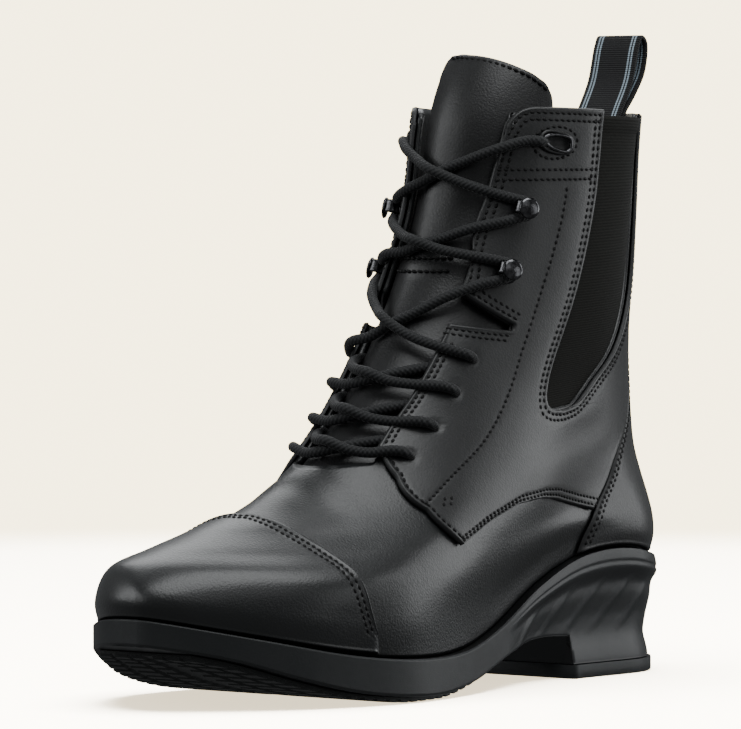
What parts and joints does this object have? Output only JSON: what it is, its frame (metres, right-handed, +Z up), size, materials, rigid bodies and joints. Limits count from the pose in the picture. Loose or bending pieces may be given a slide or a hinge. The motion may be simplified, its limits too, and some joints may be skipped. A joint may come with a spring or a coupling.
{
  "type": "lace-up paddock boot",
  "caption": "Ankle-high leather riding boot with lace throat, hook fastening, elastic sides, stitched toe cap, back pull loop and moulded rubber sole with a low heel.",
  "frame": {"origin": "on the ground under the heel, 30 mm in from the back edge of the sole", "axes": "+Z up; the toe points along -Y; +X is the outer side of the left foot"},
  "size_m": [0.098, 0.2692, 0.2266],
  "materials": {
    "rubber": "satin moulded rubber",
    "lift_rubber": "satin moulded rubber",
    "tread_rubber": "matt moulded rubber",
    "lining": "matt lining cloth",
    "leather": "semi-gloss fine pebble grain",
    "cap_leather": "polished fine pebble grain",
    "quarter_leather": "semi-gloss smooth leather",
    "stay_leather": "semi-gloss smooth leather",
    "tongue_leather": "soft leather, satin",
    "elastic": "ribbed elastic",
    "cord": "braided cord",
    "gunmetal": "polished gunmetal",
    "webbing": "woven webbing"
  },
  "bodies": {
    "root": {"sole_unit": "rubber", "heel_lift": "lift_rubber", "outsole_tread": "tread_rubber", "insole": "lining", "upper": "leather", "toe_cap": "cap_leather", "quarter_outer": "quarter_leather", "quarter_inner": "quarter_leather", "back_stay": "stay_leather", "gore_outer": "elastic", "gore_inner": "elastic", "tongue": "tongue_leather", "lace_crossing_1": "cord", "lace_crossing_2": "cord", "lace_crossing_3": "cord", "lace_crossing_4": "cord", "lace_crossing_5": "cord", "lace_crossing_6": "cord", "hook_outer_1": "gunmetal", "hook_outer_2": "gunmetal", "hook_inner_1": "gunmetal", "hook_inner_2": "gunmetal", "lace_ring_outer": "gunmetal", "lace_ring_inner": "gunmetal", "pull_loop": "webbing"}
  },
  "joints": []
}
